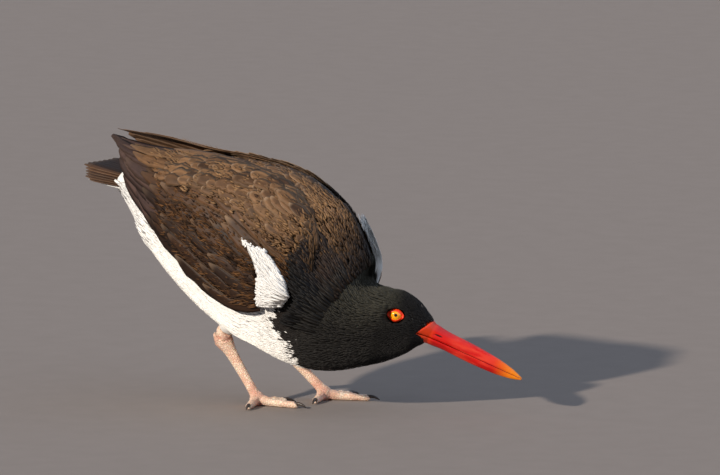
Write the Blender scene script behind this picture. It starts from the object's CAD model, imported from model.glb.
import math
from functools import partial
import bpy
import numpy as np
from mathutils import Matrix, Vector


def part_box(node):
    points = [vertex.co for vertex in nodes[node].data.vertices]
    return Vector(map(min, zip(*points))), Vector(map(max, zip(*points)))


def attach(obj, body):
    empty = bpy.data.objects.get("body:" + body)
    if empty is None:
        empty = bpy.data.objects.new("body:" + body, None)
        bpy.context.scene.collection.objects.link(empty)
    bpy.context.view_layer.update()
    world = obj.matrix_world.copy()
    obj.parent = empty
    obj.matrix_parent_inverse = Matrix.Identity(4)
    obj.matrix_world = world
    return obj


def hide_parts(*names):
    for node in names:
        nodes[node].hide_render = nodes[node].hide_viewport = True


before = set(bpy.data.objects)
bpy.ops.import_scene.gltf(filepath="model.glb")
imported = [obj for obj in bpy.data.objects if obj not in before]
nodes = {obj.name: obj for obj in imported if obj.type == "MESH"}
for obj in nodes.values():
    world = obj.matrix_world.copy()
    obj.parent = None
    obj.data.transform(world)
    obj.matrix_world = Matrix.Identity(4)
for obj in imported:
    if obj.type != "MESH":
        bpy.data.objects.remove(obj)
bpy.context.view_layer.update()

mm = 0.001
rng = np.random.default_rng(2024)
print("frame loaded", len(nodes), "nodes")


# Shader maths: a small class that wraps a socket, so that an expression adds its Math nodes
class Value:
    def __init__(self, shade, socket):
        self.shade = shade
        self.socket = socket

    def maths(self, operation, a, b=None):
        inputs = {0: a} if b is None else {0: a, 1: b}
        return self.shade.add("Math", {"operation": operation}, inputs)

    def __add__(self, other):
        return self.maths("ADD", self, other)

    def __radd__(self, other):
        return self.maths("ADD", other, self)

    def __sub__(self, other):
        return self.maths("SUBTRACT", self, other)

    def __rsub__(self, other):
        return self.maths("SUBTRACT", other, self)

    def __mul__(self, other):
        return self.maths("MULTIPLY", self, other)

    def __rmul__(self, other):
        return self.maths("MULTIPLY", other, self)

    def __truediv__(self, other):
        return self.maths("DIVIDE", self, other)

    def __pow__(self, other):
        return self.maths("POWER", self, other)

    def absolute(self):
        return self.maths("ABSOLUTE", self)

    def clamped(self):
        return self.shade.add("Clamp", {}, {"Value": self})

    def output(self, index):  # another output of the same node
        return Value(self.shade, self.socket.node.outputs[index])

    def between(self, low, high):  # 0 below low, 1 above high, smooth in between
        settings = {"interpolation_type": "SMOOTHSTEP"}
        return self.shade.add("MapRange", settings, {"Value": self, "From Min": low, "From Max": high})


class Shade:
    def __init__(self, name):
        self.material = bpy.data.materials.new(name)
        self.material.use_nodes = True
        self.tree = self.material.node_tree
        self.surface = self.tree.nodes["Principled BSDF"]

    def add(self, kind, settings, inputs, out=0):
        node = self.tree.nodes.new("ShaderNode" + kind)
        for key, value in settings.items():
            if key == "stops":  # a ramp's stops, each its place and its grey
                for stop, (place, grey) in zip(node.color_ramp.elements, value):
                    stop.position = place
                    stop.color = (grey, grey, grey, 1)
            else:
                setattr(node, key, value)
        for key, value in inputs.items():
            self.plug(node.inputs[key], value)
        return Value(self, node.outputs[out])

    def plug(self, socket, value):
        if isinstance(value, Value):
            self.tree.links.new(value.socket, socket)
        elif isinstance(value, str):
            socket.default_value = linear(value)
        else:
            socket.default_value = value

    def give(self, **inputs):
        for key, value in inputs.items():
            self.plug(self.surface.inputs[key.replace("_", " ")], value)

    def blend(self, factor, a, b, way="MIX"):
        return self.add("Mix", {"data_type": "RGBA", "blend_type": way}, {0: factor, 6: a, 7: b}, out=2)

    def vectors(self, operation, *operands):  # a length, a distance or a dot product is a number
        number = operation in ("LENGTH", "DISTANCE", "DOT_PRODUCT")
        return self.add("VectorMath", {"operation": operation}, dict(enumerate(operands)), out=int(number))

    def joined(self, x, y, z=0.0):
        return self.add("CombineXYZ", {}, {"X": x, "Y": y, "Z": z})

    def place(self):
        return self.add("TexCoord", {}, {}, out=3)

    def noise(self, scale, detail, vector=None, stretch=None):
        vector = vector or self.place()
        if stretch:
            vector = self.add("Mapping", {}, {"Vector": vector, "Scale": stretch})
        return self.add("TexNoise", {}, {"Vector": vector, "Scale": scale, "Detail": detail})

    def bump(self, height, strength, distance):
        return self.add("Bump", {}, {"Height": height, "Strength": strength, "Distance": distance})

    def attribute(self, name):
        return self.add("Attribute", {"attribute_name": name}, {})


def linear(text):
    channels = [int(text[i:i + 2], 16) / 255 for i in (1, 3, 5)]
    return [c / 12.92 if c <= 0.04045 else ((c + 0.055) / 1.055) ** 2.4 for c in channels] + [1.0]


# Object helpers
def deselectAll():
    if bpy.context.object and bpy.context.object.mode != "OBJECT":
        bpy.ops.object.mode_set(mode="OBJECT")
    bpy.ops.object.select_all(action="DESELECT")


def pick(piece):
    deselectAll()
    piece.select_set(True)
    bpy.context.view_layer.objects.active = piece


def modify(piece, kind, **settings):
    pick(piece)
    modifier = piece.modifiers.new(kind.title(), kind)
    for key, value in settings.items():
        setattr(modifier, key, value)
    bpy.ops.object.modifier_apply(modifier=modifier.name)


def linked(name, data):
    piece = bpy.data.objects.new(name, data)
    bpy.context.scene.collection.objects.link(piece)
    return piece


def copyOf(name, nodeNames):
    deselectAll()
    copies = [linked(name, nodes[nodeName].data.copy()) for nodeName in nodeNames]
    for copy in copies:
        copy.select_set(True)
    bpy.context.view_layer.objects.active = copies[0]
    if len(copies) > 1:
        bpy.ops.object.join()
    piece = bpy.context.object
    piece.data.materials.clear()
    bpy.ops.object.mode_set(mode="EDIT")
    bpy.ops.mesh.select_all(action="SELECT")
    bpy.ops.mesh.remove_doubles(threshold=0.00001)
    bpy.ops.object.mode_set(mode="OBJECT")
    return piece


def moulded(name, nodeNames, voxel, rounds, swell=0.0):  # one smooth skin over CAD solids
    piece = copyOf(name, nodeNames)
    if swell:
        modify(piece, "DISPLACE", strength=swell, mid_level=0.0)
    modify(piece, "REMESH", mode="VOXEL", voxel_size=voxel)
    modify(piece, "SMOOTH", factor=0.5, iterations=rounds)
    pick(piece)
    bpy.ops.object.shade_smooth()
    return piece


def finished(piece, material, replaced=()):
    piece.data.materials.clear()
    piece.data.materials.append(material)
    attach(piece, "root")
    if replaced:
        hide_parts(*replaced)


# The body's own measures, in millimetres: one row per station from the rump to the bill, with its
# centre, lean and turn in degrees, and half sizes up, down and across
body = {
    "stations": np.array([
        [-153, 0, 184.7, 16, 0, 8, 9, 15], [-121, 0, 176.7, 28, 0, 26, 31, 30],
        [-95, 0, 170, 34, 0, 43, 49, 42], [-66, 0, 157.5, 36, 0, 59, 63, 49],
        [-31, 0, 139.5, 36, 0, 73, 73, 53], [2, 0, 118, 36, 0, 77.5, 73, 54],
        [21.3, 0, 106.5, 36, 1, 75, 69, 52], [48.5, 2, 84.5, 36, 5, 58, 58, 46],
        [67.3, 6, 72.4, 24, 13, 42, 42, 36], [85.6, 13, 71.5, 19, 20, 35, 35, 28],
        [98.8, 20.5, 72.2, 15, 22, 31, 31, 22.5], [112.4, 27, 72.3, 12, 22, 23, 23, 18.5],
        [120.3, 30.5, 70.1, 18, 22, 15.5, 15.5, 12.5], [126.4, 33, 66.4, 28, 22, 10, 10, 8]]),
    "eye": np.array([106.852, 9.38, 83.6]),  # the middle of the right eyeball
    "coatDepth": 1.6, "voxel": 2.2,
    "nodes": ["torso", "neck", "head", "thigh_right", "thigh_left"],
}
lastStation = len(body["stations"]) - 1
wings = {  # centre along and up, lean, half sizes, arc from the top, to the lower edge
    "stations": np.array([
        [42, 0, 90, 36, 60, 49, 66, 84], [26, 0, 103, 36, 72, 57, 42, 102],
        [2, 0, 118, 36, 79, 59, 32, 112], [-31, 0, 139.5, 36, 76, 57.5, 27, 114],
        [-66, 0, 157.5, 34, 62, 53, 22, 110], [-95, 0, 169, 26, 47, 45, 19, 103],
        [-122, 0, 179, 12, 34, 33, 18, 94], [-145, 0, 195, 5, 20, 21, 18, 85],
        [-156, 0, 207, 0, 13, 11, 20, 70]], float),
    "leftWrist": np.array([
        [58, 3, 79, 36, 53, 47, 60, 84], [38, 0, 94, 36, 66, 54, 44, 102],
        [8, 0, 114, 36, 77, 59, 34, 112]], float),
    "leftTipRise": np.array([0, 0, 0, 0, 0, 2, 8, 8, 4]),
    "beyondTip": np.array([-250.0, 0, 60]),  # how the quills run on past the last station
    "length": 225, "depth": 95,  # turn millimetres along and across a wing into shares of it
}
eyeLow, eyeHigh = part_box("eye_right")
shift = np.array((eyeLow + eyeHigh) / 2) / mm - body["eye"]


def spline(knots, t):  # the same smooth curve through knots as the solids follow
    knots = np.asarray(knots, float)
    knots = np.vstack([2 * knots[0] - knots[1], knots, 2 * knots[-1] - knots[-2]])
    place = np.clip(np.asarray(t, float), 0, 1) * (len(knots) - 3)
    index = np.minimum(place.astype(int), len(knots) - 4)
    f = (place - index)[..., None]
    a, b, c, d = (knots[index + k] for k in range(4))
    return 0.5 * (2 * b + (c - a) * f + (2 * a - 5 * b + 4 * c - d) * f**2 + (3 * b - a - 3 * c + d) * f**3)


def sectionFrame(lean, turn):
    lean, turn = np.radians(lean), np.radians(turn)
    ahead = np.stack([np.cos(lean) * np.cos(turn), np.cos(lean) * np.sin(turn), -np.sin(lean)], -1)
    left = np.stack([-np.sin(turn), np.cos(turn), 0 * turn], -1)
    return ahead, left, np.cross(ahead, left)


def bodyAt(station, angle, grow):  # angle in degrees from the top towards the right side
    s = spline(body["stations"], np.asarray(station) / lastStation)
    ahead, left, up = sectionFrame(s[..., 3], s[..., 4])
    angle = np.radians(angle)
    tall = np.where(np.cos(angle) > 0, s[..., 5], s[..., 6]) + grow
    wide = s[..., 7] + grow
    rise = (np.cos(angle) * tall)[..., None] * up
    return s[..., :3] + rise - (np.sin(angle) * wide)[..., None] * left


def wingAt(side, along, across, lift):
    stations = wings["stations"].copy()
    if side == "left":
        stations[:3] = wings["leftWrist"]
        stations[:, 4] += wings["leftTipRise"]
        stations[:, 6] -= wings["leftTipRise"] / 2
    way = 1 if side == "left" else -1
    s = spline(stations, along)
    ahead, left, up = sectionFrame(s[..., 3], 0 * s[..., 3])
    angle = np.radians(s[..., 6] + (s[..., 7] - s[..., 6]) * across)
    rise = (np.cos(angle) * (s[..., 4] + lift))[..., None] * up
    point = s[..., :3] + rise + (way * np.sin(angle) * (s[..., 5] + lift))[..., None] * left
    beyond = np.maximum(np.asarray(along) - 1, 0)[..., None]
    return point + beyond * wings["beyondTip"]


def unit(v):
    return v / np.maximum(np.linalg.norm(v, axis=-1, keepdims=True), 1e-9)


# Feathers: many thin closed vanes or tufts as one mesh. A vane has a thickness, and a tuft has three sides
def feathers(name, points, outs, halfWidths, tints, roots, fringe=0.0, arch=0.1, thick=0.0):
    count, steps = points.shape[:2]
    if halfWidths.ndim == 2:
        halfWidths = np.stack([halfWidths, halfWidths], -1)
    ahead = unit(np.gradient(points, axis=1))
    across = unit(np.cross(ahead, outs))
    if thick:
        loop = np.array([[-1, 0], [-0.5, 0.75], [0, 1], [0.5, 0.75], [1, 0], [0.5, 0], [0, 0], [-0.5, 0]])
        loop[:5, 1] = loop[:5, 1] * arch * 10 + 0.5
        loop[5:, 1] = loop[[3, 2, 1], 1] - 1
    else:
        loop = np.array([[-1, 0], [0, 1], [1, 0]], float)
    sides = len(loop)
    widths = np.where(loop[:, 0] < 0, halfWidths[..., :1], halfWidths[..., 1:])
    height = thick or arch * widths
    place = points[:, :, None, :] + across[:, :, None, :] * (loop[:, 0] * widths)[..., None]
    place = place + outs[:, :, None, :] * (loop[:, 1] * height)[..., None]
    vertices = ((place.reshape(-1, 3) + shift) * mm).astype(np.float32)

    quads = []
    for step in range(steps - 1):
        for k in range(sides):
            a, b = step * sides + k, step * sides + (k + 1) % sides
            quads.append([a, b, b + sides, a + sides])
    quads = np.array(quads)
    caps = np.array([list(range(sides))[::-1], [(steps - 1) * sides + k for k in range(sides)]])
    offsets = (np.arange(count) * steps * sides)[:, None, None]
    quads = (quads[None] + offsets).reshape(-1, 4)
    caps = (caps[None] + offsets).reshape(-1, sides)
    loops = np.concatenate([quads.ravel(), caps.ravel()])
    starts = np.concatenate([np.arange(len(quads)) * 4, len(quads) * 4 + np.arange(len(caps)) * sides])

    mesh = bpy.data.meshes.new(name)
    mesh.vertices.add(len(vertices))
    mesh.vertices.foreach_set("co", vertices.ravel())
    mesh.loops.add(len(loops))
    mesh.loops.foreach_set("vertex_index", loops.astype(np.int32))
    mesh.polygons.add(len(starts))
    mesh.polygons.foreach_set("loop_start", starts.astype(np.int32))
    mesh.update(calc_edges=True)
    mesh.validate()

    vane = np.zeros((count, steps, sides, 2), np.float32)
    vane[..., 0] = loop[:, 0] * 0.5 + 0.5
    vane[..., 1] = np.linspace(0, 1, steps)[:, None]
    patchSize = 0.003
    baked = roots[:, None, None, :] + patchSize * (vane - 0.5)
    corner = np.empty(len(mesh.loops), np.int32)
    mesh.loops.foreach_get("vertex_index", corner)
    for mapName, uv in (("OFBake", baked), ("vane", vane)):
        layer = mesh.uv_layers.new(name=mapName)
        layer.data.foreach_set("uv", uv.reshape(-1, 2)[corner].astype(np.float32).ravel())
    shades = np.ones((count, steps, sides, 4), np.float32)
    shades[..., :3] = tints[:, None, None, :]
    shades[..., 3] = np.broadcast_to(np.asarray(fringe, float), (count,))[:, None, None]
    colour = mesh.attributes.new("plumage", "FLOAT_COLOR", "POINT")
    colour.data.foreach_set("color", shades.ravel())
    mesh.polygons.foreach_set("use_smooth", np.ones(len(mesh.polygons), bool))
    print(name, count, "feathers,", len(quads) * 2 + len(caps) * (sides - 2), "triangles")
    return linked(name, mesh)


def lay(surface, u, v, du, dv, length, base, rise, steps):  # runs feathers along a surface
    curve = 0.6  # below 1, a feather rises most near its root
    tiny = 0.002
    u, v = np.asarray(u, float), np.asarray(v, float)
    du, base = np.broadcast_to(du, u.shape), np.broadcast_to(base, u.shape)
    t = np.linspace(0, 1, steps)
    step = surface(u + du * tiny, v + dv * tiny, 0 * u) - surface(u, v, 0 * u)
    speed = np.linalg.norm(step, axis=-1) / tiny
    travel = (length / np.maximum(speed, 1e-6))[:, None] * t
    us, vs = u[:, None] + du[:, None] * travel, v[:, None] + dv[:, None] * travel
    lift = base[:, None] + (rise - base)[:, None] * t**curve
    points = surface(us, vs, lift)
    outs = unit(surface(us, vs, lift + 0.5) - points)
    return points, outs


def onMap(across, along, scale=0.9, edge=0.05):  # the roots' places on the bake's map
    return np.stack([across * scale + edge, along * scale + edge], -1)


def smoothstep(x, low, high):
    x = np.clip((x - low) / (high - low), 0, 1)
    return x * x * (3 - 2 * x)


def wobble(points, size, seed):  # smooth pseudo-random field over space, about -1 to 1
    circle = 6.28
    phase = np.random.default_rng(seed).uniform(0, circle, (4, 3))
    ways = unit(np.random.default_rng(seed + 1).normal(size=(4, 3)))
    waves = (np.sin(points @ ways[k] * circle / size * (1 + 0.6 * k) + phase[k, 0]) for k in range(4))
    return sum(waves) / 3


def topAngle(angle):  # degrees from the top, the same on both sides
    return np.abs((np.asarray(angle) + 180) % 360 - 180)


def onLeftPatch(station, angle):  # the far shoulder's white patch
    top = topAngle(angle)
    return (np.asarray(angle) % 360 > 180) & (top > 20) & (top < 84) & (station > 6.2) & (station < 7.6)


# Markings, shared by skin and coat. Places are in millimetres in the body's own measures
plumage = {
    "white": "#efebe4", "black": "#100d0b", "neck": "#1d1a16", "head": "#151210", "nape": "#3a372d",
    "mantle": "#775739", "dark": "#2b1f18", "wing": "#4a311d", "covert": "#2e1c0f", "quill": "#41302a",
    "tertial": "#6b4f39", "buff": "#8b6946", "rufous": "#6c4826",
    # heights of the breast's line, how far ahead the white ends there, and how ragged it is
    "breastLine": ([35, 46, 59, 72, 88, 100], [31, 36, 33, 22, 26, 36]), "ragged": 2.5,
    "mantleEdge": 64.0,  # degrees from the top that the brown back covers
}


def tint(key):
    return np.array(linear(plumage[key])[:3])


def mixed(a, b, f):
    return a + (b - a) * np.asarray(f)[..., None]


def markings(points, station, angle):
    top = topAngle(angle)
    ragged = plumage["ragged"]
    line = np.interp(points[..., 2], *plumage["breastLine"])
    line = line + (ragged * wobble(points, 20, 5) + ragged * wobble(points, 8, 6))
    belly = (points[..., 0] < line) & (station < 7.6)
    mantle = (top < plumage["mantleEdge"] + 5 * wobble(points, 20, 8)) & (station > 1.15)
    face = smoothstep(station, 9.0, 10.4)
    nape = (1 - smoothstep(top, 40, 100)) * (1 - smoothstep(station, 9.6, 10.6))
    under = smoothstep(top, 95, 150) * (1 - face)
    dark = mixed(tint("neck"), tint("head"), face)
    dark = mixed(dark, tint("nape"), nape)
    dark = mixed(dark, tint("black"), 0.7 * under)
    brown = mixed(tint("mantle"), tint("dark"), smoothstep(station, 4.2, 6.4))
    brown = mixed(brown, tint("black"), 0.8 * smoothstep(station, 5.8, 7.0))
    brown = mixed(brown, dark, smoothstep(station, 6.4, 8.2))
    colours = np.where((station < 7.2)[..., None], brown, dark)
    return np.where((belly & ~mantle)[..., None], tint("white"), colours)


# Materials
looks = {  # how the barbs slant and how many they are, the rim, and the light that passes under the surface
    "softPlumage": {"slant": 0.5, "count": 9.0, "rim": "#8d8377", "mottle": 0.4, "rough": 0.62,
                    "relief": 0.35, "glow": 0.0},
    "whitePlumage": {"slant": 0.5, "count": 9.0, "rim": "#f4f0ea", "mottle": 0.06, "rough": 0.8,
                     "relief": 0.15, "glow": 0.3},
    "vanePlumage": {"slant": -0.55, "count": 34.0, "rim": "#8f765e", "mottle": 0.42, "rough": 0.55,
                    "relief": 0.35, "glow": 0.0},
}


def plumageMaterial(name):
    shade = Shade(name)
    look = looks[name]
    base = shade.attribute("plumage")
    fringe = base.output(3)
    across = shade.add("SeparateXYZ", {}, {0: shade.add("UVMap", {"uv_map": "vane"}, {})})
    along = across.output(1)
    offRib = (across - 0.5).absolute() * 2
    barbs = shade.joined((along + offRib * look["slant"]) * look["count"], across * 1.5)
    streak = shade.add("TexNoise", {"noise_dimensions": "2D"}, {"Vector": barbs, "Scale": 1.0, "Detail": 2.0})
    blotch = shade.noise(190.0, 3.0)
    margin = (offRib.between(0.7, 1.0) + along.between(0.86, 1.0)).clamped()
    centre = 1 - (1 - offRib.between(0.05, 0.6)) * fringe * 0.5
    greys = ((0.25, 1 - look["mottle"]), (0.72, 1 + 0.6 * look["mottle"]))
    mottle = shade.add("ValToRGB", {"stops": greys}, {"Fac": blotch * 0.55 + streak * 0.45})
    mottled = shade.blend(1.0, base, mottle, "MULTIPLY")
    darker = shade.blend(1.0, mottled, shade.joined(centre, centre, centre), "MULTIPLY")
    edged = shade.blend(margin * fringe, darker, look["rim"])
    shade.give(Base_Color=edged, Roughness=look["rough"], Specular_IOR_Level=0.22,
               Subsurface_Weight=look["glow"], Subsurface_Radius=(0.004, 0.004, 0.004),
               Normal=shade.bump(streak, look["relief"], 0.0004))
    return shade.material


softMaterial, whiteMaterial, vaneMaterial = (plumageMaterial(name) for name in looks)


def skinMaterial():
    shade = Shade("underSkin")
    grain = shade.noise(420.0, 3.0)
    colour = shade.blend(0.2, shade.attribute("plumage"), grain, "MULTIPLY")
    shade.give(Base_Color=colour, Roughness=0.8, Specular_IOR_Level=0.1,
               Normal=shade.bump(grain, 0.4, 0.0006))
    return shade.material


def grainedMaterial(name, scale, low, high, rough, relief, depth):
    shade = Shade(name)
    grain = shade.noise(scale, 3.0)
    shade.give(Base_Color=shade.blend(grain, low, high), Roughness=rough,
               Normal=shade.bump(grain, relief, depth))
    return shade.material


# Skin: one smooth body under the coat, in place of torso, neck, head and thighs
def nearestStation(points):
    ring = np.linspace(0, lastStation, 10 * lastStation + 1)
    centres = bodyAt(ring, 0 * ring, 0) * 0.5 + bodyAt(ring, 0 * ring + 180, 0) * 0.5
    gaps = np.linalg.norm(points[:, None, :] - centres[None], axis=-1)
    station = ring[np.argmin(gaps, axis=1)]
    s = spline(body["stations"], station / lastStation)
    ahead, left, up = sectionFrame(s[:, 3], s[:, 4])
    off = points - s[:, :3]
    angle = np.degrees(np.arctan2(-(off * left).sum(1), (off * up).sum(1)))
    return station, angle


def buildSkin():
    skin = moulded("bodySkin", body["nodes"], body["voxel"] * mm, 4, -body["coatDepth"] * mm)
    points = np.empty(len(skin.data.vertices) * 3, np.float32)
    skin.data.vertices.foreach_get("co", points)
    points = points.reshape(-1, 3) / mm - shift
    station, angle = nearestStation(points)
    shades = np.ones((len(points), 4), np.float32)
    shades[:, :3] = markings(points, station, angle) * 0.95
    layer = skin.data.attributes.new("plumage", "FLOAT_COLOR", "POINT")
    layer.data.foreach_set("color", shades.ravel())
    finished(skin, skinMaterial(), body["nodes"])
    print("skin", len(skin.data.polygons))


# Body coat: staggered rows of tufts, each running back over the body
coat = {
    # first and last station, row gap, length, half width and lift in millimetres
    "belly": {"from": 0.25, "to": 7.6, "gap": 1.95, "length": 13.0, "wide": 2.6, "lift": 0.2},
    "neck": {"from": 6.3, "to": 9.5, "gap": 1.7, "length": 6.0, "wide": 0.9, "lift": 0.6},
    "head": {"from": 9.3, "to": 12.85, "gap": 1.05, "length": 3.2, "wide": 0.55, "lift": 0.35},
    "shoulder": {"from": 5.8, "to": 7.7, "gap": 1.6, "length": 8.0, "wide": 1.9, "lift": 0.4},
    "breastSide": {"from": 6.15, "to": 7.5, "gap": 1.9, "length": 13.0, "wide": 1.5, "lift": 2.2},
    "shape": np.array([0.7, 1.0, 0.8, 0.2]),  # a tuft's width from root to tip
    "stray": 4.0, "strayShare": 0.35,  # tufts that take their colour from beside them
    "ventLift": 3.2,
    # how far the folded wings and the far shoulder stand out, and how far the far front lies in
    "wingOut": 7.6, "shoulderOut": 7.5, "farIn": 2.6,
}
bare = {  # places of the face without tufts: half sizes round the eye, then the gape behind the bill's base
    "eye": (8.0, 6.4), "eyeTilt": 0.14,
    "behind": -12.5, "middle": 2.0, "flare": 1.25, "over": 10.5, "under": -9,
}


def rowsOn(spec):
    sideways, lengthways = 0.35, 0.45  # how far a root strays from its row, in gaps
    around = np.linspace(0, 360, 73)
    stations, angles = [], []
    place, row = spec["from"], 0
    while place < spec["to"]:
        ring = bodyAt(np.full(len(around), place), around, 0)
        girth = np.linalg.norm(np.diff(ring, axis=0), axis=1)
        count = max(int(girth.sum() / spec["gap"]), 6)
        reach = np.concatenate([[0], np.cumsum(girth)]) / girth.sum()
        share = (np.arange(count) + 0.5 * (row % 2) + rng.uniform(-sideways, sideways, count)) / count % 1
        angles.append(np.interp(share, reach, around))
        speed = np.linalg.norm(bodyAt(place + 0.05, 90.0, 0) - bodyAt(place, 90.0, 0)) / 0.05
        step = spec["gap"] / max(speed, 4)
        stations.append(np.full(count, place) + rng.uniform(-lengthways, lengthways, count) * step)
        place += step
        row += 1
    return np.concatenate(stations), np.concatenate(angles)


def rootOf(station, angle):
    return onMap(np.asarray(angle) / 360 % 1, np.asarray(station) / lastStation, 0.94, 0.03)


def overWing(station, angle):  # how far the folded wing and its feathers stand out from the body
    onLeft = np.asarray(angle) % 360 > 180
    front = np.asarray(station) - np.where(onLeft, 0.45, 0.0) * smoothstep(station, 4.5, 6.0)
    edge = np.interp(front, [0.3, 1, 2, 3, 4, 5, 5.6, 6.3, 7], [18, 18, 19, 22, 27, 32, 42, 60, 80])
    top = topAngle(angle)
    arc = smoothstep(top, edge - 10, edge + 8) * (1 - smoothstep(top, 100, 112))
    return coat["wingOut"] * arc * (1 - smoothstep(front, 6.6, 7.05))


def dressedAt(station, angle, lift):  # the body with its folded wings; the far front lies flat
    leftward = (360 - np.asarray(angle)) % 360
    flat = smoothstep(leftward, 0, 14) * (leftward < 90) * smoothstep(station, 4.2, 5.6)
    return bodyAt(station, angle, lift + overWing(station, angle) - coat["farIn"] * flat)


def shoulderAt(station, angle, lift):  # the far shoulder, where the white patch stands out beyond the neck
    leftward = (360 - np.asarray(angle)) % 360
    out = coat["shoulderOut"] * smoothstep(leftward, 15, 33) * (1 - smoothstep(station, 7.3, 7.8))
    return bodyAt(station, angle, lift + out)


def clearOfFace(points):  # keeps the eye rings and the bare gape free of tufts
    turn = math.radians(eyes["turn"])
    axis = unit(np.array([math.cos(turn), math.sin(turn), 0]))
    off = points - body["eye"]
    along, up = off @ axis, off[:, 2] + bare["eyeTilt"] * (off @ axis)
    clear = (along / bare["eye"][0]) ** 2 + (up / bare["eye"][1]) ** 2 > 1
    fromBill = points - bill["base"]
    reach, rise = fromBill @ axis, fromBill[:, 2]
    gape = reach > bare["behind"] + np.abs(rise - bare["middle"]) * bare["flare"]
    return clear & ~(gape & (rise < bare["over"]) & (rise > bare["under"]))


def onHead(station, angle):
    return clearOfFace(bodyAt(station, angle, 0)) & clearOfFace(bodyAt(station - 0.3, angle, 0))


def onNeck(station, angle):
    return ((station > 7.1) | (topAngle(angle) > 98)) & ~onLeftPatch(station, angle)


def onFlank(station, angle):
    top = topAngle(angle)
    underWing = (station > 2.2) & (station < 6.3) & (top > 42) & (top < 102) & ~((station > 5.6) & (top > 90))
    return (top > np.interp(station, [0.5, 1.2], [104, 60])) & (top < 128) & ~underWing


def onBelly(station, angle):
    return topAngle(angle) >= 128


def onBreastSide(station, angle):
    top = topAngle(angle)
    rear = np.interp(top, [38, 66, 76, 84, 92, 103], [6.1, 6.2, 6.5, 6.85, 6.9, 6.8])
    return (top > 38) & (top < 103) & (station > rear) & ~onLeftPatch(station, angle)


def onShoulder(station, angle):
    return onLeftPatch(station, angle) & (topAngle(angle) < 70)


def shoulderTones(points, station, angle):
    brown = mixed(tint("dark"), tint("black"), smoothstep(topAngle(angle), 52, 72))
    return mixed(brown, tint("neck"), 0.8 * smoothstep(station, 7.0, 7.4))


def whiteTones(points, station, angle):
    return np.broadcast_to(tint("white"), points.shape)


def ventFluff(station, angle):
    under = smoothstep(topAngle(angle), 100, 116) * (1 - smoothstep(topAngle(angle), 140, 165))
    return np.exp(-((station - 2.3) / 0.45) ** 2) * under


def tuftCoat(name, slotName, spec, keep, surface=bodyAt, fluff=None, tones=None, arch=0.2):
    station, angle = rowsOn(spec)
    use = keep(station, angle)
    station, angle = station[use], angle[use]
    count = len(station)
    length = spec["length"] * rng.uniform(0.8, 1.2, count)
    lift = spec["lift"] * rng.uniform(0.5, 1.5, count) + rng.uniform(-0.15, 0.15, count)
    if fluff:
        more = fluff(station, angle)
        length = length * (1 + 0.4 * more)
        lift = lift + coat["ventLift"] * more * rng.uniform(0.2, 1.1, count)
    sway = rng.normal(0, 2.0, count) + 3 * wobble(bodyAt(station, angle, 0), 30, 11)
    points, outs = lay(surface, station, angle, -1, sway, length, -1.0, lift, len(coat["shape"]))
    halfWidths = spec["wide"] * rng.uniform(0.75, 1.2, count)[:, None] * coat["shape"]
    if tones:
        colours = tones(points[:, 1], station, angle)
    else:
        stray = rng.normal(0, coat["stray"], (count, 1))
        stray = stray * (rng.uniform(0, 1, (count, 1)) < coat["strayShare"])
        colours = markings(points[:, 1] + stray * np.array([1, 0, 1]), station, angle)
    pale = colours.mean(axis=1) > 0.5
    bright = np.where(pale, rng.uniform(0.95, 1.03, count), rng.uniform(0.75, 1.15, count))
    colours = colours * bright[:, None]
    piece = feathers(name, points, outs, halfWidths, colours, rootOf(station, angle), arch=arch)
    finished(piece, whiteMaterial if slotName == "plumage_white" else softMaterial)


def buildCoat():
    tuftCoat("headCoat", "plumage_black", coat["head"], onHead)
    tuftCoat("neckCoat", "plumage_black", coat["neck"], onNeck)
    tuftCoat("flankCoat", "plumage_white", coat["belly"], onFlank, fluff=ventFluff, arch=0.07)
    tuftCoat("bellyCoat", "plumage_white", coat["belly"], onBelly, fluff=ventFluff, arch=0.07)
    tuftCoat("breastSideCoat", "plumage_black", coat["breastSide"], onBreastSide, surface=dressedAt,
             tones=shoulderTones)
    tuftCoat("shoulderInner", "plumage_white", coat["shoulder"], onShoulder, surface=shoulderAt,
             tones=whiteTones, arch=0.1)


# Back: rounded body feathers from the nape over the mantle and the tops of the wings
back = {
    "mantle": {"from": 1.0, "to": 7.35, "gap": 6.8, "length": 21.0, "wide": 6.0, "lift": 1.3, "reach": 62},
    "down": {"from": 2.6, "to": 7.4, "gap": 2.2, "length": 5.0, "wide": 1.15, "lift": 1.9, "reach": 66},
    "downShape": np.array([0.6, 1.0, 0.8, 0.12]),
}


def vaneWidths(count, wide, steps, ragged):
    t = np.linspace(0, 1, steps)
    shape = np.interp(t, [0, 0.25, 0.6, 0.82, 0.94, 1.0], [0.45, 0.85, 1.0, 0.84, 0.55, 0.2])
    notches = 1 + ragged * rng.normal(0, 1, (count, steps, 2)) * smoothstep(t, 0.25, 0.7)[:, None]
    return wide[:, None, None] * shape[:, None] * np.clip(notches, 0.35, 1.5)


def farSide(station, angle):  # the dark band along the far edge of the back
    leftward = (180 - np.asarray(angle)) % 360 - 180
    return smoothstep(leftward, -5, 9) * smoothstep(station, 2.2, 3.8)


def backTones(station, angle):
    place = bodyAt(station, angle, 0)
    dull = np.clip(0.35 + 0.7 * wobble(place, 42, 41) + 0.45 * wobble(place, 15, 43), 0, 1)
    dull = np.maximum(smoothstep(topAngle(angle), 46, 70), dull)
    brown = mixed(tint("mantle") * 1.08, tint("wing"), dull)
    brown = mixed(brown, tint("dark") * 0.6, 0.9 * farSide(station, angle))
    return mixed(brown, tint("black"), 0.85 * smoothstep(station, 5.7, 7.1))


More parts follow.
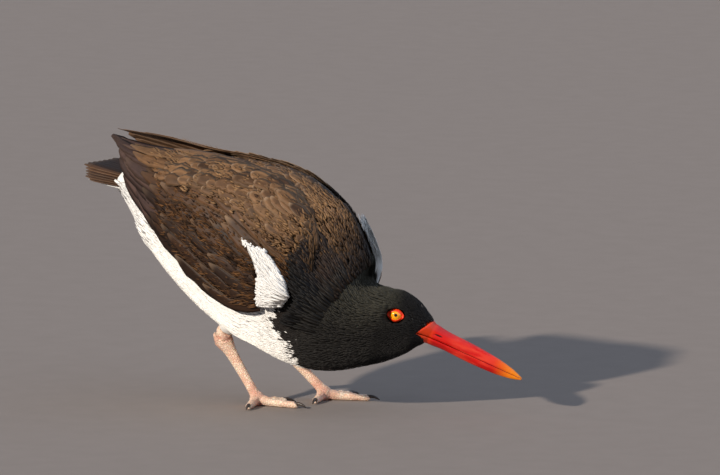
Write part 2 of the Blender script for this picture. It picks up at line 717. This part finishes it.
def buildMantle():
    spec, steps = back["mantle"], 8
    station, angle = rowsOn(spec)
    use = topAngle(angle) < spec["reach"] - 6 * rng.uniform(0, 1, len(angle))
    use &= ~onLeftPatch(station, angle)
    station, angle = station[use], angle[use]
    count = len(station)
    small = (1 - 0.55 * smoothstep(station, 4.4, 7.0)) * rng.uniform(0.7, 1.2, count)
    points, outs = lay(dressedAt, station, angle, -1, rng.normal(0, 2.2, count), spec["length"] * small, -0.5,
                       spec["lift"] * rng.uniform(0.4, 1.5, count), steps)
    colours = backTones(station, angle) * rng.uniform(0.6, 1.25, count)[:, None]
    fringe = 0.8 * (1 - smoothstep(station, 5.4, 6.9)) * rng.uniform(0.3, 1.2, count)
    widths = vaneWidths(count, spec["wide"] * small, steps, 0.12)
    piece = feathers("mantleFeathers", points, outs, widths, colours, rootOf(station, angle), fringe=fringe,
                     arch=0.05, thick=0.2)
    finished(piece, vaneMaterial)


def buildMantleDown():  # loose barbs that break up the edges of the mantle's feathers
    spec = back["down"]
    station, angle = rowsOn(spec)
    patchy = wobble(bodyAt(station, angle, 0), 16, 21) + wobble(bodyAt(station, angle, 0), 7, 23)
    dense = 0.3 + 0.6 * smoothstep(station, 3.6, 5.4) + 0.3 * patchy
    use = (topAngle(angle) < spec["reach"]) & (rng.uniform(0, 1, len(angle)) < dense)
    use &= ~onLeftPatch(station, angle)
    station, angle, patchy = station[use], angle[use], patchy[use]
    count = len(station)
    points, outs = lay(dressedAt, station, angle, -1, rng.normal(0, 6.0, count),
                       spec["length"] * rng.uniform(0.6, 1.2, count), 0.6,
                       spec["lift"] * rng.uniform(0.5, 1.25, count), len(back["downShape"]))
    pale = np.clip(0.3 + 0.35 * patchy + rng.normal(0, 0.2, count), 0, 1)
    pale = pale * (1 - smoothstep(station, 5.9, 6.9)) * (1 - 0.95 * farSide(station, angle))
    colours = mixed(backTones(station, angle) * 0.8, tint("buff"), pale)
    halfWidths = spec["wide"] * rng.uniform(0.6, 1.3, count)[:, None] * back["downShape"]
    piece = feathers("mantleDown", points, outs, halfWidths, colours, rootOf(station, angle), arch=0.25)
    finished(piece, softMaterial)


# Wings: tiers of vanes over each folded wing, from the long quills up to the small coverts
tierParts = ("count", "root", "tip", "span", "wide", "lift", "fringe", "tint")
wingTiers = [dict(zip(tierParts, tier)) for tier in (
    # count, root and tip along the wing at its top and its bottom, span, half width, lift, rim, colour
    (9, (0.5, 0.5), (1.01, 0.86), (0.06, 0.98), 6.5, 0.4, 0.1, "quill"),
    (10, (0.44, 0.42), (0.98, 0.76), (0.02, 0.99), 7.5, 1.0, 0.2, "quill"),
    (12, (0.36, 0.34), (0.84, 0.66), (0.02, 1.0), 7.2, 1.6, 0.4, "wing"),
    (13, (0.28, 0.27), (0.68, 0.57), (0.0, 1.0), 6.6, 2.1, 0.6, "wing"),
    (14, (0.22, 0.2), (0.56, 0.47), (0.02, 1.0), 6.2, 2.5, 0.7, "wing"),
    (15, (0.16, 0.14), (0.45, 0.39), (0.0, 1.0), 5.8, 2.8, 0.7, "wing"),
    (16, (0.11, 0.09), (0.35, 0.31), (0.02, 1.0), 5.3, 3.0, 0.6, "wing"),
    (16, (0.06, 0.05), (0.27, 0.24), (0.03, 0.98), 4.8, 3.1, 0.5, "wing"),
    (15, (0.02, 0.02), (0.19, 0.17), (0.03, 0.96), 4.5, 3.2, 0.3, "dark"),
    (12, (0.0, 0.0), (0.11, 0.1), (0.05, 0.95), 4.2, 3.2, 0.1, "dark"),
)]
covertDown = {"gap": 1.7, "length": 7.0, "wide": 0.7, "lift": 3.9, "shape": np.array([0.6, 1.0, 0.7, 0.1])}


def buildWing(side):
    surface = partial(wingAt, side)
    steps, sunk = 10, -0.8  # roots lie a little under the wing's surface
    t = np.linspace(0, 1, steps)
    tiers = []
    for tier in wingTiers:
        count = tier["count"]
        quill = tier["tint"] == "quill"
        share = np.linspace(0, 1, count)
        across = tier["span"][0] + (tier["span"][1] - tier["span"][0]) * share
        across = across + rng.normal(0, 0.014, count)
        start = tier["root"][0] + (tier["root"][1] - tier["root"][0]) * share
        end = tier["tip"][0] + (tier["tip"][1] - tier["tip"][0]) * share
        end = start + (end - start) * rng.uniform(0.86, 1.1, count) * (1 - 0.12 * smoothstep(share, 0.7, 1))
        end = np.minimum(end, tier["tip"][0] + 0.01)
        along = start[:, None] + (end - start)[:, None] * t
        lift = sunk + (tier["lift"] - sunk) * t**0.7 * rng.uniform(0.6, 1.3, count)[:, None]
        drift = rng.normal(0, 0.035, count) * (not quill)
        crossing = across[:, None] + drift[:, None] * t
        points = surface(along, crossing, lift)
        outs = unit(surface(along, crossing, lift + 0.5) - points)
        tone = np.broadcast_to(tint("tertial" if side == "left" and quill else tier["tint"]), (count, 3))
        if not quill:
            tone = mixed(tone, tint("mantle"), 0.75 * (1 - smoothstep(share, 0.15, 0.5)))
            tone = mixed(tone, tint("covert"), smoothstep(share, 0.45, 0.75))
        ragged = 0.03 if quill else 0.2
        widths = vaneWidths(count, tier["wide"] * rng.uniform(0.85, 1.15, count), steps, ragged)
        tone = tone * rng.uniform(0.55, 1.35, count)[:, None]
        rim = tier["fringe"] * rng.uniform(0.2, 1.2, count) * (1 - 0.5 * smoothstep(share, 0.5, 0.8))
        underPatch = (start < 0.13) & (across > 0.57)
        underMantle = (start < 0.07) & (across < 0.55)
        keep = ~underPatch & ~underMantle
        roots = onMap(across, np.clip(start, 0, 1))
        tiers.append([part[keep] for part in (points, outs, widths, tone, roots, rim)])
    points, outs, widths, tones, roots, rims = (np.concatenate(parts) for parts in zip(*tiers))
    piece = feathers("wingFeathers" + side.title(), points, outs, widths, tones, roots, fringe=rims,
                     thick=0.35)
    finished(piece, vaneMaterial, [f"wing_{side}"])


def buildCovertDown(side):  # loose barbs that break up the edges of the coverts
    surface = partial(wingAt, side)
    stepU, stepV = covertDown["gap"] / wings["length"], covertDown["gap"] / wings["depth"]
    u, v = np.meshgrid(np.arange(0.03, 0.74, stepU), np.arange(0.02, 0.99, stepV), indexing="ij")
    u, v = u.ravel(), v.ravel()
    u = u + rng.uniform(-0.7, 0.7, len(u)) * stepU
    v = v + rng.uniform(-0.7, 0.7, len(v)) * stepV
    root = surface(u, v, 0 * u)
    patchy = wobble(root, 15, 31) + 0.8 * wobble(root, 6.5, 33)
    dense = 0.35 + 0.5 * smoothstep(v, 0.3, 0.7) + 0.35 * patchy
    dense = dense * (1 - smoothstep(u - 0.25 * (1 - v), 0.42, 0.6))
    underPatch = (u < 0.14) & (v > 0.57)
    use = (rng.uniform(0, 1, len(u)) < dense) & ~underPatch
    u, v, patchy = u[use], v[use], patchy[use]
    count = len(u)
    curl = 0.15 + 1.1 * wobble(surface(u, v, 0 * u), 9, 35) + rng.normal(0, 0.5, count)
    points, outs = lay(surface, u, v, 1, curl, covertDown["length"] * rng.uniform(0.5, 1.2, count), 0.6,
                       covertDown["lift"] * rng.uniform(0.5, 1.15, count), len(covertDown["shape"]))
    high = 1 - smoothstep(v, 0.15, 0.5)
    base = mixed(tint("covert"), tint("mantle"), high)
    rim = mixed(tint("rufous"), tint("buff"), high)
    pale = np.clip(0.35 + 0.5 * patchy + rng.normal(0, 0.3, count), 0, 1)
    colours = mixed(base * 0.8, rim, pale) * (0.25 + 0.75 * smoothstep(u + 0.1 * v, 0.06, 0.2))[:, None]
    halfWidths = covertDown["wide"] * rng.uniform(0.5, 1.4, count)[:, None] * covertDown["shape"]
    piece = feathers("covertDown" + side.title(), points, outs, halfWidths, colours, onMap(v, u), arch=0.25)
    finished(piece, softMaterial)


# White patch at each wrist: its outline along and across the wing, and the run of its feathers
patch = {
    "right": [(0.32, 0.54), (0.24, 0.48), (0.175, 0.52), (0.09, 0.61), (0.045, 0.75), (0.05, 0.98),
              (0.14, 0.95), (0.175, 0.79), (0.2, 0.67), (0.25, 0.58)],
    "left": [(0.28, 0.56), (0.17, 0.42), (0.12, 0.1), (0.1, -0.42), (0.055, -0.42), (0.03, 0.3),
             (0.03, 0.97), (0.13, 0.95), (0.175, 0.79), (0.2, 0.67), (0.24, 0.6)],
    "count": 1500, "dense": 12, "length": 15.0, "wide": 2.0, "lift": {"right": 4.4, "left": 2.6}, "sunk": 1.8,
    "shape": np.array([0.6, 0.95, 1.0, 0.85, 0.55, 0.1]),
}


def inside(outline, u, v):
    found = np.zeros(len(u), bool)
    for (ua, va), (ub, vb) in zip(outline, outline[1:] + outline[:1]):
        crosses = (va > v) != (vb > v)
        edge = ua + (v - va) / (vb - va + 1e-9) * (ub - ua)
        found ^= crosses & (u < edge)
    return found


def buildPatch(side):
    outline = patch[side]
    low, high = np.min(outline, 0), np.max(outline, 0)
    area = (high[0] - low[0]) * (high[1] - low[1])
    u = rng.uniform(low[0], high[0], int(patch["count"] * area * patch["dense"]))
    v = rng.uniform(low[1], high[1], len(u))
    use = inside(outline, u, v)
    u, v = u[use], v[use]
    count = len(u)
    slant = np.interp(v, [0.45, 0.7, 0.95], [-1.4, -0.7, 0.2]) + rng.normal(0, 0.2, count)
    length = patch["length"] * rng.uniform(0.7, 1.1, count)
    for _ in range(6):  # tips that leave the patch are drawn in
        reach = length / wings["length"]
        out = ~inside(outline, u + reach * 0.92, v + slant * reach * 0.92)
        length = np.where(out, length * 0.8, length)
    lift = patch["lift"][side]
    points, outs = lay(partial(wingAt, side), u, v, 1, slant, length, lift - patch["sunk"],
                       lift * rng.uniform(0.88, 1.08, count), len(patch["shape"]))
    colours = tint("white") * rng.uniform(0.93, 1.03, count)[:, None]
    roots = np.stack([v * 0.85 + 0.08, u * 0.9 + 0.05], -1)
    halfWidths = patch["wide"] * rng.uniform(0.6, 1.1, count)[:, None] * patch["shape"]
    piece = feathers("shoulderPatch" + side.title(), points, outs, halfWidths, colours, roots)
    finished(piece, whiteMaterial)


# Tail: twelve long feathers in a low tipped roof, with coverts over and under their roots
tail = {  # the root's place, how the roof rolls and falls, then the feathers and their fan
    "root": np.array([-126, 0, 181.0]), "roll": 5.5, "roof": -1.0, "spread": 9, "halfSpan": 26, "slope": 0.19,
    "length": 57.0, "wide": 5.2, "fan": 17.0,
    "coverts": 90, "covertWide": 2.6, "covertShape": np.array([0.5, 0.9, 1.0, 0.85, 0.5, 0.1]),
}


def tailRun(share, start, length, rise, droop, steps):
    t = np.linspace(0, 1, steps)
    angle = np.radians(tail["fan"] * share)[:, None]
    reach = start[:, None] + length[:, None] * t
    height = tail["roll"] * share - tail["roof"] * share**2 + rise
    x = -np.cos(angle) * reach
    y = tail["spread"] * share[:, None] + np.sin(angle) * reach
    z = tail["slope"] * reach + height[:, None] + droop * t * t
    fall = (2 * tail["roof"] * share - tail["roll"]) / tail["halfSpan"]
    outs = unit(np.stack([0 * share + tail["slope"], fall, 0 * share + 1], -1))
    return np.stack([x, y, z], -1) + tail["root"], np.repeat(outs[:, None], steps, 1)


def buildTail():
    steps, pairs = 10, 6
    rank = np.tile(np.arange(pairs), 2)  # from the middle pair outwards
    share = (rank + 0.45) / 5.45 * np.repeat([-1, 1], pairs)
    length = tail["length"] - np.where(share < 0, 2.6, 1.6) * rank + rng.normal(0, 0.6, 2 * pairs)
    points, outs = tailRun(share, np.full(2 * pairs, 6.0), length, 1.4 - 0.5 * rank, -1.0, steps)
    colours = tint("wing") * rng.uniform(0.8, 1.3, 2 * pairs)[:, None]
    colours[pairs:] *= 0.3  # the far half is darker
    shape = np.interp(np.linspace(0, 1, steps), [0, 0.3, 0.75, 0.9, 1.0], [0.5, 0.85, 1.0, 0.85, 0.3])
    roots = np.stack([share * 0.4 + 0.5, 0.2 + 0 * share], -1)
    halfWidths = tail["wide"] * np.ones((2 * pairs, 1)) * shape
    piece = feathers("tailFeathers", points, outs, halfWidths, colours, roots, fringe=0.15, thick=0.35)
    finished(piece, vaneMaterial, ["tail"])

    count, steps = tail["coverts"], len(tail["covertShape"])
    share = rng.uniform(-1, 1, count)
    start = rng.uniform(-14, 6, count)
    over, overOuts = tailRun(share * 0.6, start - 8, rng.uniform(18, 27, count), 3.2, -0.6, steps)
    under, underOuts = tailRun(share[::-1] * 1.08, start, rng.uniform(28, 46, count), -3.2, 1.4, steps)
    points, outs = np.concatenate([over, under]), np.concatenate([overOuts, -underOuts])
    colours = tint("white") * rng.uniform(0.92, 1.03, 2 * count)[:, None]
    halfWidths = tail["covertWide"] * np.ones((2 * count, 1)) * tail["covertShape"]
    across = np.concatenate([share, share[::-1]]) * 0.45 + 0.5
    roots = np.stack([across, np.concatenate([start, start + 40]) / 80 + 0.3], -1)
    piece = feathers("tailCoverts", points, outs, halfWidths, colours, roots, arch=0.3)
    finished(piece, whiteMaterial)


# Bill, eyes, lids, legs and claws
bill = {  # millimetres from the middle of the bill's base, in the head's own turn
    "base": np.array([128.6, 34, 65.7]), "lean": 23, "turn": 22, "length": 82,
    "smoothReach": 17, "voxel": 0.4,
    "nostril": {"ahead": 5.0, "up": 1.9, "out": 5.2, "size": (3.8, 0.75, 2.2)},
}
eyes = {  # millimetres: ball and its inset, half sizes of the ring's outer edge and of its opening
    "radius": 6.0, "inset": 4.5, "outer": (7.3, 5.7), "opening": (4.9, 3.65), "pinch": 0.36, "fold": 0.9,
    "turn": 22, "lean": 8, "pupil": 1.3, "lidOut": 4.4, "rimDrop": 1.6, "tuck": 3,
}
legs = {  # the heel and the foot's joint of each leg, near and far, in millimetres
    "joints": np.array([(-52, -8, 56.5), (-20.6, -5, 8), (-30, 44, 49), (12.6, 50, 8)]),
    "voxel": 0.6, "clawVoxel": 0.25,
}


def hornMaterial():
    shade = Shade("billHorn")
    off = shade.vectors("SUBTRACT", shade.place(), tuple((bill["base"] + shift) * mm))
    axes = sectionFrame(bill["lean"], bill["turn"])
    run, side, rise = (shade.vectors("DOT_PRODUCT", off, tuple(axis)) for axis in axes)
    slot = bill["nostril"]
    ahead = (run / mm - slot["ahead"]) / slot["size"][0]
    above = (rise / mm - slot["up"]) / slot["size"][1]
    hole = ahead**2 + above**2
    run = run / (bill["length"] * mm)
    lengthwise = shade.joined(run * 2.2, side * 90, rise * 110)
    cloud = shade.noise(1.0, 4.0, vector=lengthwise)
    fine = shade.noise(3.2, 3.0, vector=lengthwise)
    red = shade.blend(cloud.between(0.3, 0.7), "#a60604", "#c9140b")
    worn = (cloud * 0.6 + fine * 0.4).between(0.46, 0.62)
    pale = run.between(0.1, 0.3) * (1 - run.between(0.6, 0.8)) * worn
    coral = shade.blend(pale * 0.55, red, "#d8452b")
    tip = shade.blend((run + cloud * 0.14).between(0.74, 1.02), coral, "#e27c05")
    gape = shade.blend((1 - (run + fine * 0.06).between(-0.02, 0.07)) * 0.6, tip, "#f2480f")
    dark = shade.blend(1 - hole.between(0.5, 1.1), gape, "#3a0604")
    shade.give(Base_Color=dark, Roughness=fine * 0.2 + 0.2, Specular_IOR_Level=0.35, Coat_Weight=0.12,
               Coat_Roughness=0.15, Subsurface_Weight=0.05, Normal=shade.bump(fine, 0.14, 0.0005))
    return shade.material


def legMaterial():
    shade = Shade("legSkin")
    blotch = shade.noise(120.0, 4.0)
    scales = {"Vector": shade.place(), "Scale": 520.0}
    cells = shade.add("TexVoronoi", {"feature": "DISTANCE_TO_EDGE"}, scales)
    skin = shade.blend(blotch.between(0.35, 0.7), "#ecd3ba", "#e0b49a")
    near = 0.0
    for joint in (legs["joints"] + shift) * mm:
        gap = shade.vectors("DISTANCE", shade.place(), tuple(joint))
        near = 1 - gap.between(0.006, 0.016) + near
    near = near.clamped()
    flesh = shade.blend(near * blotch.between(0.3, 0.6), skin, "#cf9a84")
    lined = shade.blend(cells.between(0.0, 0.1), "#cf9f86", flesh)
    folds = shade.noise(330.0, 3.0, stretch=(0.5, 0.5, 1.6))
    height = cells.between(0.0, 0.2) * 0.4 + folds * (near * 1.6 + 0.2)
    shade.give(Base_Color=lined, Roughness=0.5, Subsurface_Weight=0.1, Normal=shade.bump(height, 0.8, 0.0012))
    return shade.material


def eyeMaterial(side, centre, out):
    shade = Shade("iris" + side.title())
    off = shade.vectors("SUBTRACT", shade.place(), tuple(centre))
    span = shade.vectors("LENGTH", off)
    facing = shade.vectors("DOT_PRODUCT", off, tuple(out)) / span
    fromMiddle = (1 - facing**2) ** 0.5 * span / mm  # millimetres from the pupil's middle
    fibres = shade.noise(900.0, 3.0)
    iris = shade.blend(fibres.between(0.35, 0.65), "#ec8a04", "#ffb214")
    ringed = shade.blend(fromMiddle.between(4.5, 5.2), iris, "#3a1203")
    pupil = shade.blend(fromMiddle.between(eyes["pupil"], eyes["pupil"] + 0.15), "#050404", ringed)
    shade.give(Base_Color=pupil, Roughness=0.08, Coat_Weight=0.7, Coat_Roughness=0.03)
    return shade.material


def buildEye(side):
    way = 1 if side == "left" else -1
    ahead, left, up = (Vector(axis) for axis in sectionFrame(eyes["lean"], eyes["turn"]))
    out = left * way
    low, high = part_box(f"eye_{side}")
    opening = (low + high) / 2 + out * eyes["lidOut"] * mm  # the middle of the lid opening
    centre = opening - out * eyes["inset"] * mm
    deselectAll()
    bpy.ops.mesh.primitive_uv_sphere_add(segments=64, ring_count=40, radius=eyes["radius"] * mm,
                                         location=centre)
    eye = bpy.context.object
    eye.name = "eye" + side.title()
    bpy.ops.object.transform_apply(location=True, rotation=True, scale=True)
    bpy.ops.object.shade_smooth()
    gaze = (out + ahead * 0.08 + up * 0.1).normalized()
    finished(eye, eyeMaterial(side, centre, gaze), [f"eye_{side}"])

    rows, turns = 9, 72
    verts, faces = [], []
    for i in range(turns):
        angle = 2 * math.pi * i / turns
        wrinkle = 0.12 * math.sin(angle * 17) + 0.08 * math.sin(angle * 29 + 1)
        for k in range(rows):
            share = k / (rows - 1)
            wide = eyes["opening"][0] + (eyes["outer"][0] - eyes["opening"][0]) * share
            tall = eyes["opening"][1] + (eyes["outer"][1] - eyes["opening"][1]) * share
            x = math.cos(angle) * wide
            y = math.sin(angle) * tall * (1 - eyes["pinch"] * math.cos(angle) ** 2)
            onBall = math.sqrt(eyes["radius"] ** 2 - min(x * x + y * y, 34)) - eyes["inset"]
            depth = (onBall + 0.1) * (1 - share) - eyes["rimDrop"] * share
            depth += (eyes["fold"] + wrinkle * share) * math.sin(math.pi * share) ** 0.7
            verts.append(opening + (ahead * x + up * y + out * depth) * mm)
        for size in (1, 0.6):  # the ring closes behind the eye's surface
            verts.append(opening + (ahead * x * size + up * y * size - out * eyes["tuck"]) * mm)
    loop = rows + 2
    for i in range(turns):
        for k in range(loop):
            j, m = (i + 1) % turns, (k + 1) % loop
            faces.append((i * loop + k, j * loop + k, j * loop + m, i * loop + m))
    mesh = bpy.data.meshes.new("eyeRing" + side.title())
    mesh.from_pydata(verts, [], faces)
    ring = linked(mesh.name, mesh)
    pick(ring)
    bpy.ops.object.mode_set(mode="EDIT")
    bpy.ops.mesh.select_all(action="SELECT")
    bpy.ops.mesh.normals_make_consistent(inside=False)
    bpy.ops.object.mode_set(mode="OBJECT")
    bpy.ops.object.shade_smooth()
    ringMaterial = grainedMaterial("eyeRing", 700.0, "#e61c02", "#ff4a0c", 0.4, 0.5, 0.0004)
    finished(ring, ringMaterial, [f"lid_{side}"])


def cutNostrils(piece, base, ahead, left, up):
    slot = bill["nostril"]
    turned = Matrix((ahead, up, left)).transposed().to_4x4()
    for way in (1, -1):
        deselectAll()
        bpy.ops.mesh.primitive_uv_sphere_add(segments=24, ring_count=16, radius=mm, location=(0, 0, 0))
        cutter = bpy.context.object
        place = base + (ahead * slot["ahead"] + up * slot["up"] + left * way * slot["out"]) * mm
        cutter.data.transform(Matrix.Translation(place) @ turned @ Matrix.Diagonal((*slot["size"], 1)))
        modify(piece, "BOOLEAN", operation="DIFFERENCE", object=cutter, solver="FAST")
        bpy.data.objects.remove(cutter)


def buildBill():
    horn = hornMaterial()
    ahead, left, up = (Vector(axis) for axis in sectionFrame(bill["lean"], bill["turn"]))
    base = Vector((bill["base"] + shift) * mm)
    for part in ("upper", "lower"):
        piece = moulded("bill" + part.title(), [f"bill_{part}"], bill["voxel"] * mm, 6)
        group = piece.vertex_groups.new(name="baseEnd")
        for vertex in piece.data.vertices:
            reach = (vertex.co - base).dot(ahead) / mm / bill["smoothReach"]
            group.add([vertex.index], min(max(1.6 - reach, 0), 1), "REPLACE")
        modify(piece, "SMOOTH", factor=0.5, iterations=90, vertex_group="baseEnd")
        if part == "upper":
            cutNostrils(piece, base, ahead, left, up)
        finished(piece, horn, [f"bill_{part}"])


def buildLegs():
    skin = legMaterial()
    horn = grainedMaterial("clawHorn", 300.0, "#1d1714", "#4a3c32", 0.35, 0.2, 0.0003)
    for side in ("right", "left"):
        nodeNames = [f"tarsus_{side}", f"foot_{side}"]
        finished(moulded("leg" + side.title(), nodeNames, legs["voxel"] * mm, 3), skin, nodeNames)
        for toe in ("inner", "middle", "outer"):
            nodeName = f"claw_{side}_{toe}"
            claw = moulded(f"claw{side.title()}{toe.title()}", [nodeName], legs["clawVoxel"] * mm, 4)
            finished(claw, horn, [nodeName])


# Floor, light and camera, at the photograph's viewing angle
stage = {
    "azimuth": 30.0, "elevation": 7.5, "distance": 8.0, "sensor": 36.0,
    "pixel": 0.84, "zero": (280, 406), "frame": (720, 475),  # millimetres a pixel, the origin, the size
}
light = {
    "sun": {"azimuth": -16, "elevation": 24, "strength": 4.5, "angle": 2.0, "colour": (1.0, 0.92, 0.82)},
    "shadeSide": {"azimuth": 105, "elevation": 40, "strength": 1.1, "angle": 90.0,
                  "colour": (0.68, 0.8, 1.0)},
    "sky": {"colour": (0.62, 0.74, 0.95), "strength": 0.44},
}


def buildFloor():
    deselectAll()
    bpy.ops.mesh.primitive_plane_add(size=12, location=(0, 0, 0))
    floor = bpy.context.object
    floor.name = "floor"
    bpy.ops.object.transform_apply(location=True, rotation=True, scale=True)
    shade = Shade("floorPaint")
    grain = shade.noise(40.0, 4.0)
    shade.give(Base_Color=shade.blend(grain, "#7b7068", "#837870"), Roughness=0.85)
    floor.data.materials.append(shade.material)


def buildCamera():
    azimuth, elevation = math.radians(stage["azimuth"]), math.radians(stage["elevation"])
    right = Vector((math.cos(azimuth), math.sin(azimuth), 0))
    up = Vector((-math.sin(azimuth) * math.sin(elevation), math.cos(azimuth) * math.sin(elevation),
                 math.cos(elevation)))
    back = right.cross(up)
    across = (stage["frame"][0] / 2 - stage["zero"][0]) * stage["pixel"] * mm
    above = (stage["zero"][1] - stage["frame"][1] / 2) * stage["pixel"] * mm
    target = right * across + up * above + Vector(shift * mm)
    data = bpy.data.cameras.new("camera")
    camera = linked("camera", data)
    camera.location = target + back * stage["distance"]
    camera.rotation_euler = back.to_track_quat("Z", "Y").to_euler()
    data.sensor_width = stage["sensor"]
    data.lens = stage["distance"] * stage["sensor"] / (stage["pixel"] * mm * stage["frame"][0])
    data.clip_end = 100.0
    bpy.context.scene.camera = camera


def buildLights():
    for name in ("sun", "shadeSide"):
        spec = light[name]
        azimuth, elevation = math.radians(spec["azimuth"]), math.radians(spec["elevation"])
        back = Vector((math.sin(azimuth) * math.cos(elevation), -math.cos(azimuth) * math.cos(elevation),
                       math.sin(elevation)))
        data = bpy.data.lights.new(name, "SUN")
        data.energy = spec["strength"]
        data.angle = math.radians(spec["angle"])
        data.color = spec["colour"]
        lamp = linked(name, data)
        lamp.location = back * 3
        lamp.rotation_euler = back.to_track_quat("Z", "Y").to_euler()
    world = bpy.data.worlds.new("sky")
    world.use_nodes = True
    world.node_tree.nodes["Background"].inputs[0].default_value = (*light["sky"]["colour"], 1)
    world.node_tree.nodes["Background"].inputs[1].default_value = light["sky"]["strength"]
    bpy.context.scene.world = world
    bpy.context.scene.view_settings.view_transform = "Standard"


buildFloor()
buildCamera()
buildLights()
print("stage ready")
buildSkin()
buildCoat()
buildMantle()
buildMantleDown()
for side in ("right", "left"):
    buildWing(side)
    buildCovertDown(side)
    buildPatch(side)
buildTail()
print("feathers ready")
buildBill()
for side in ("right", "left"):
    buildEye(side)
buildLegs()
print("bare parts ready")
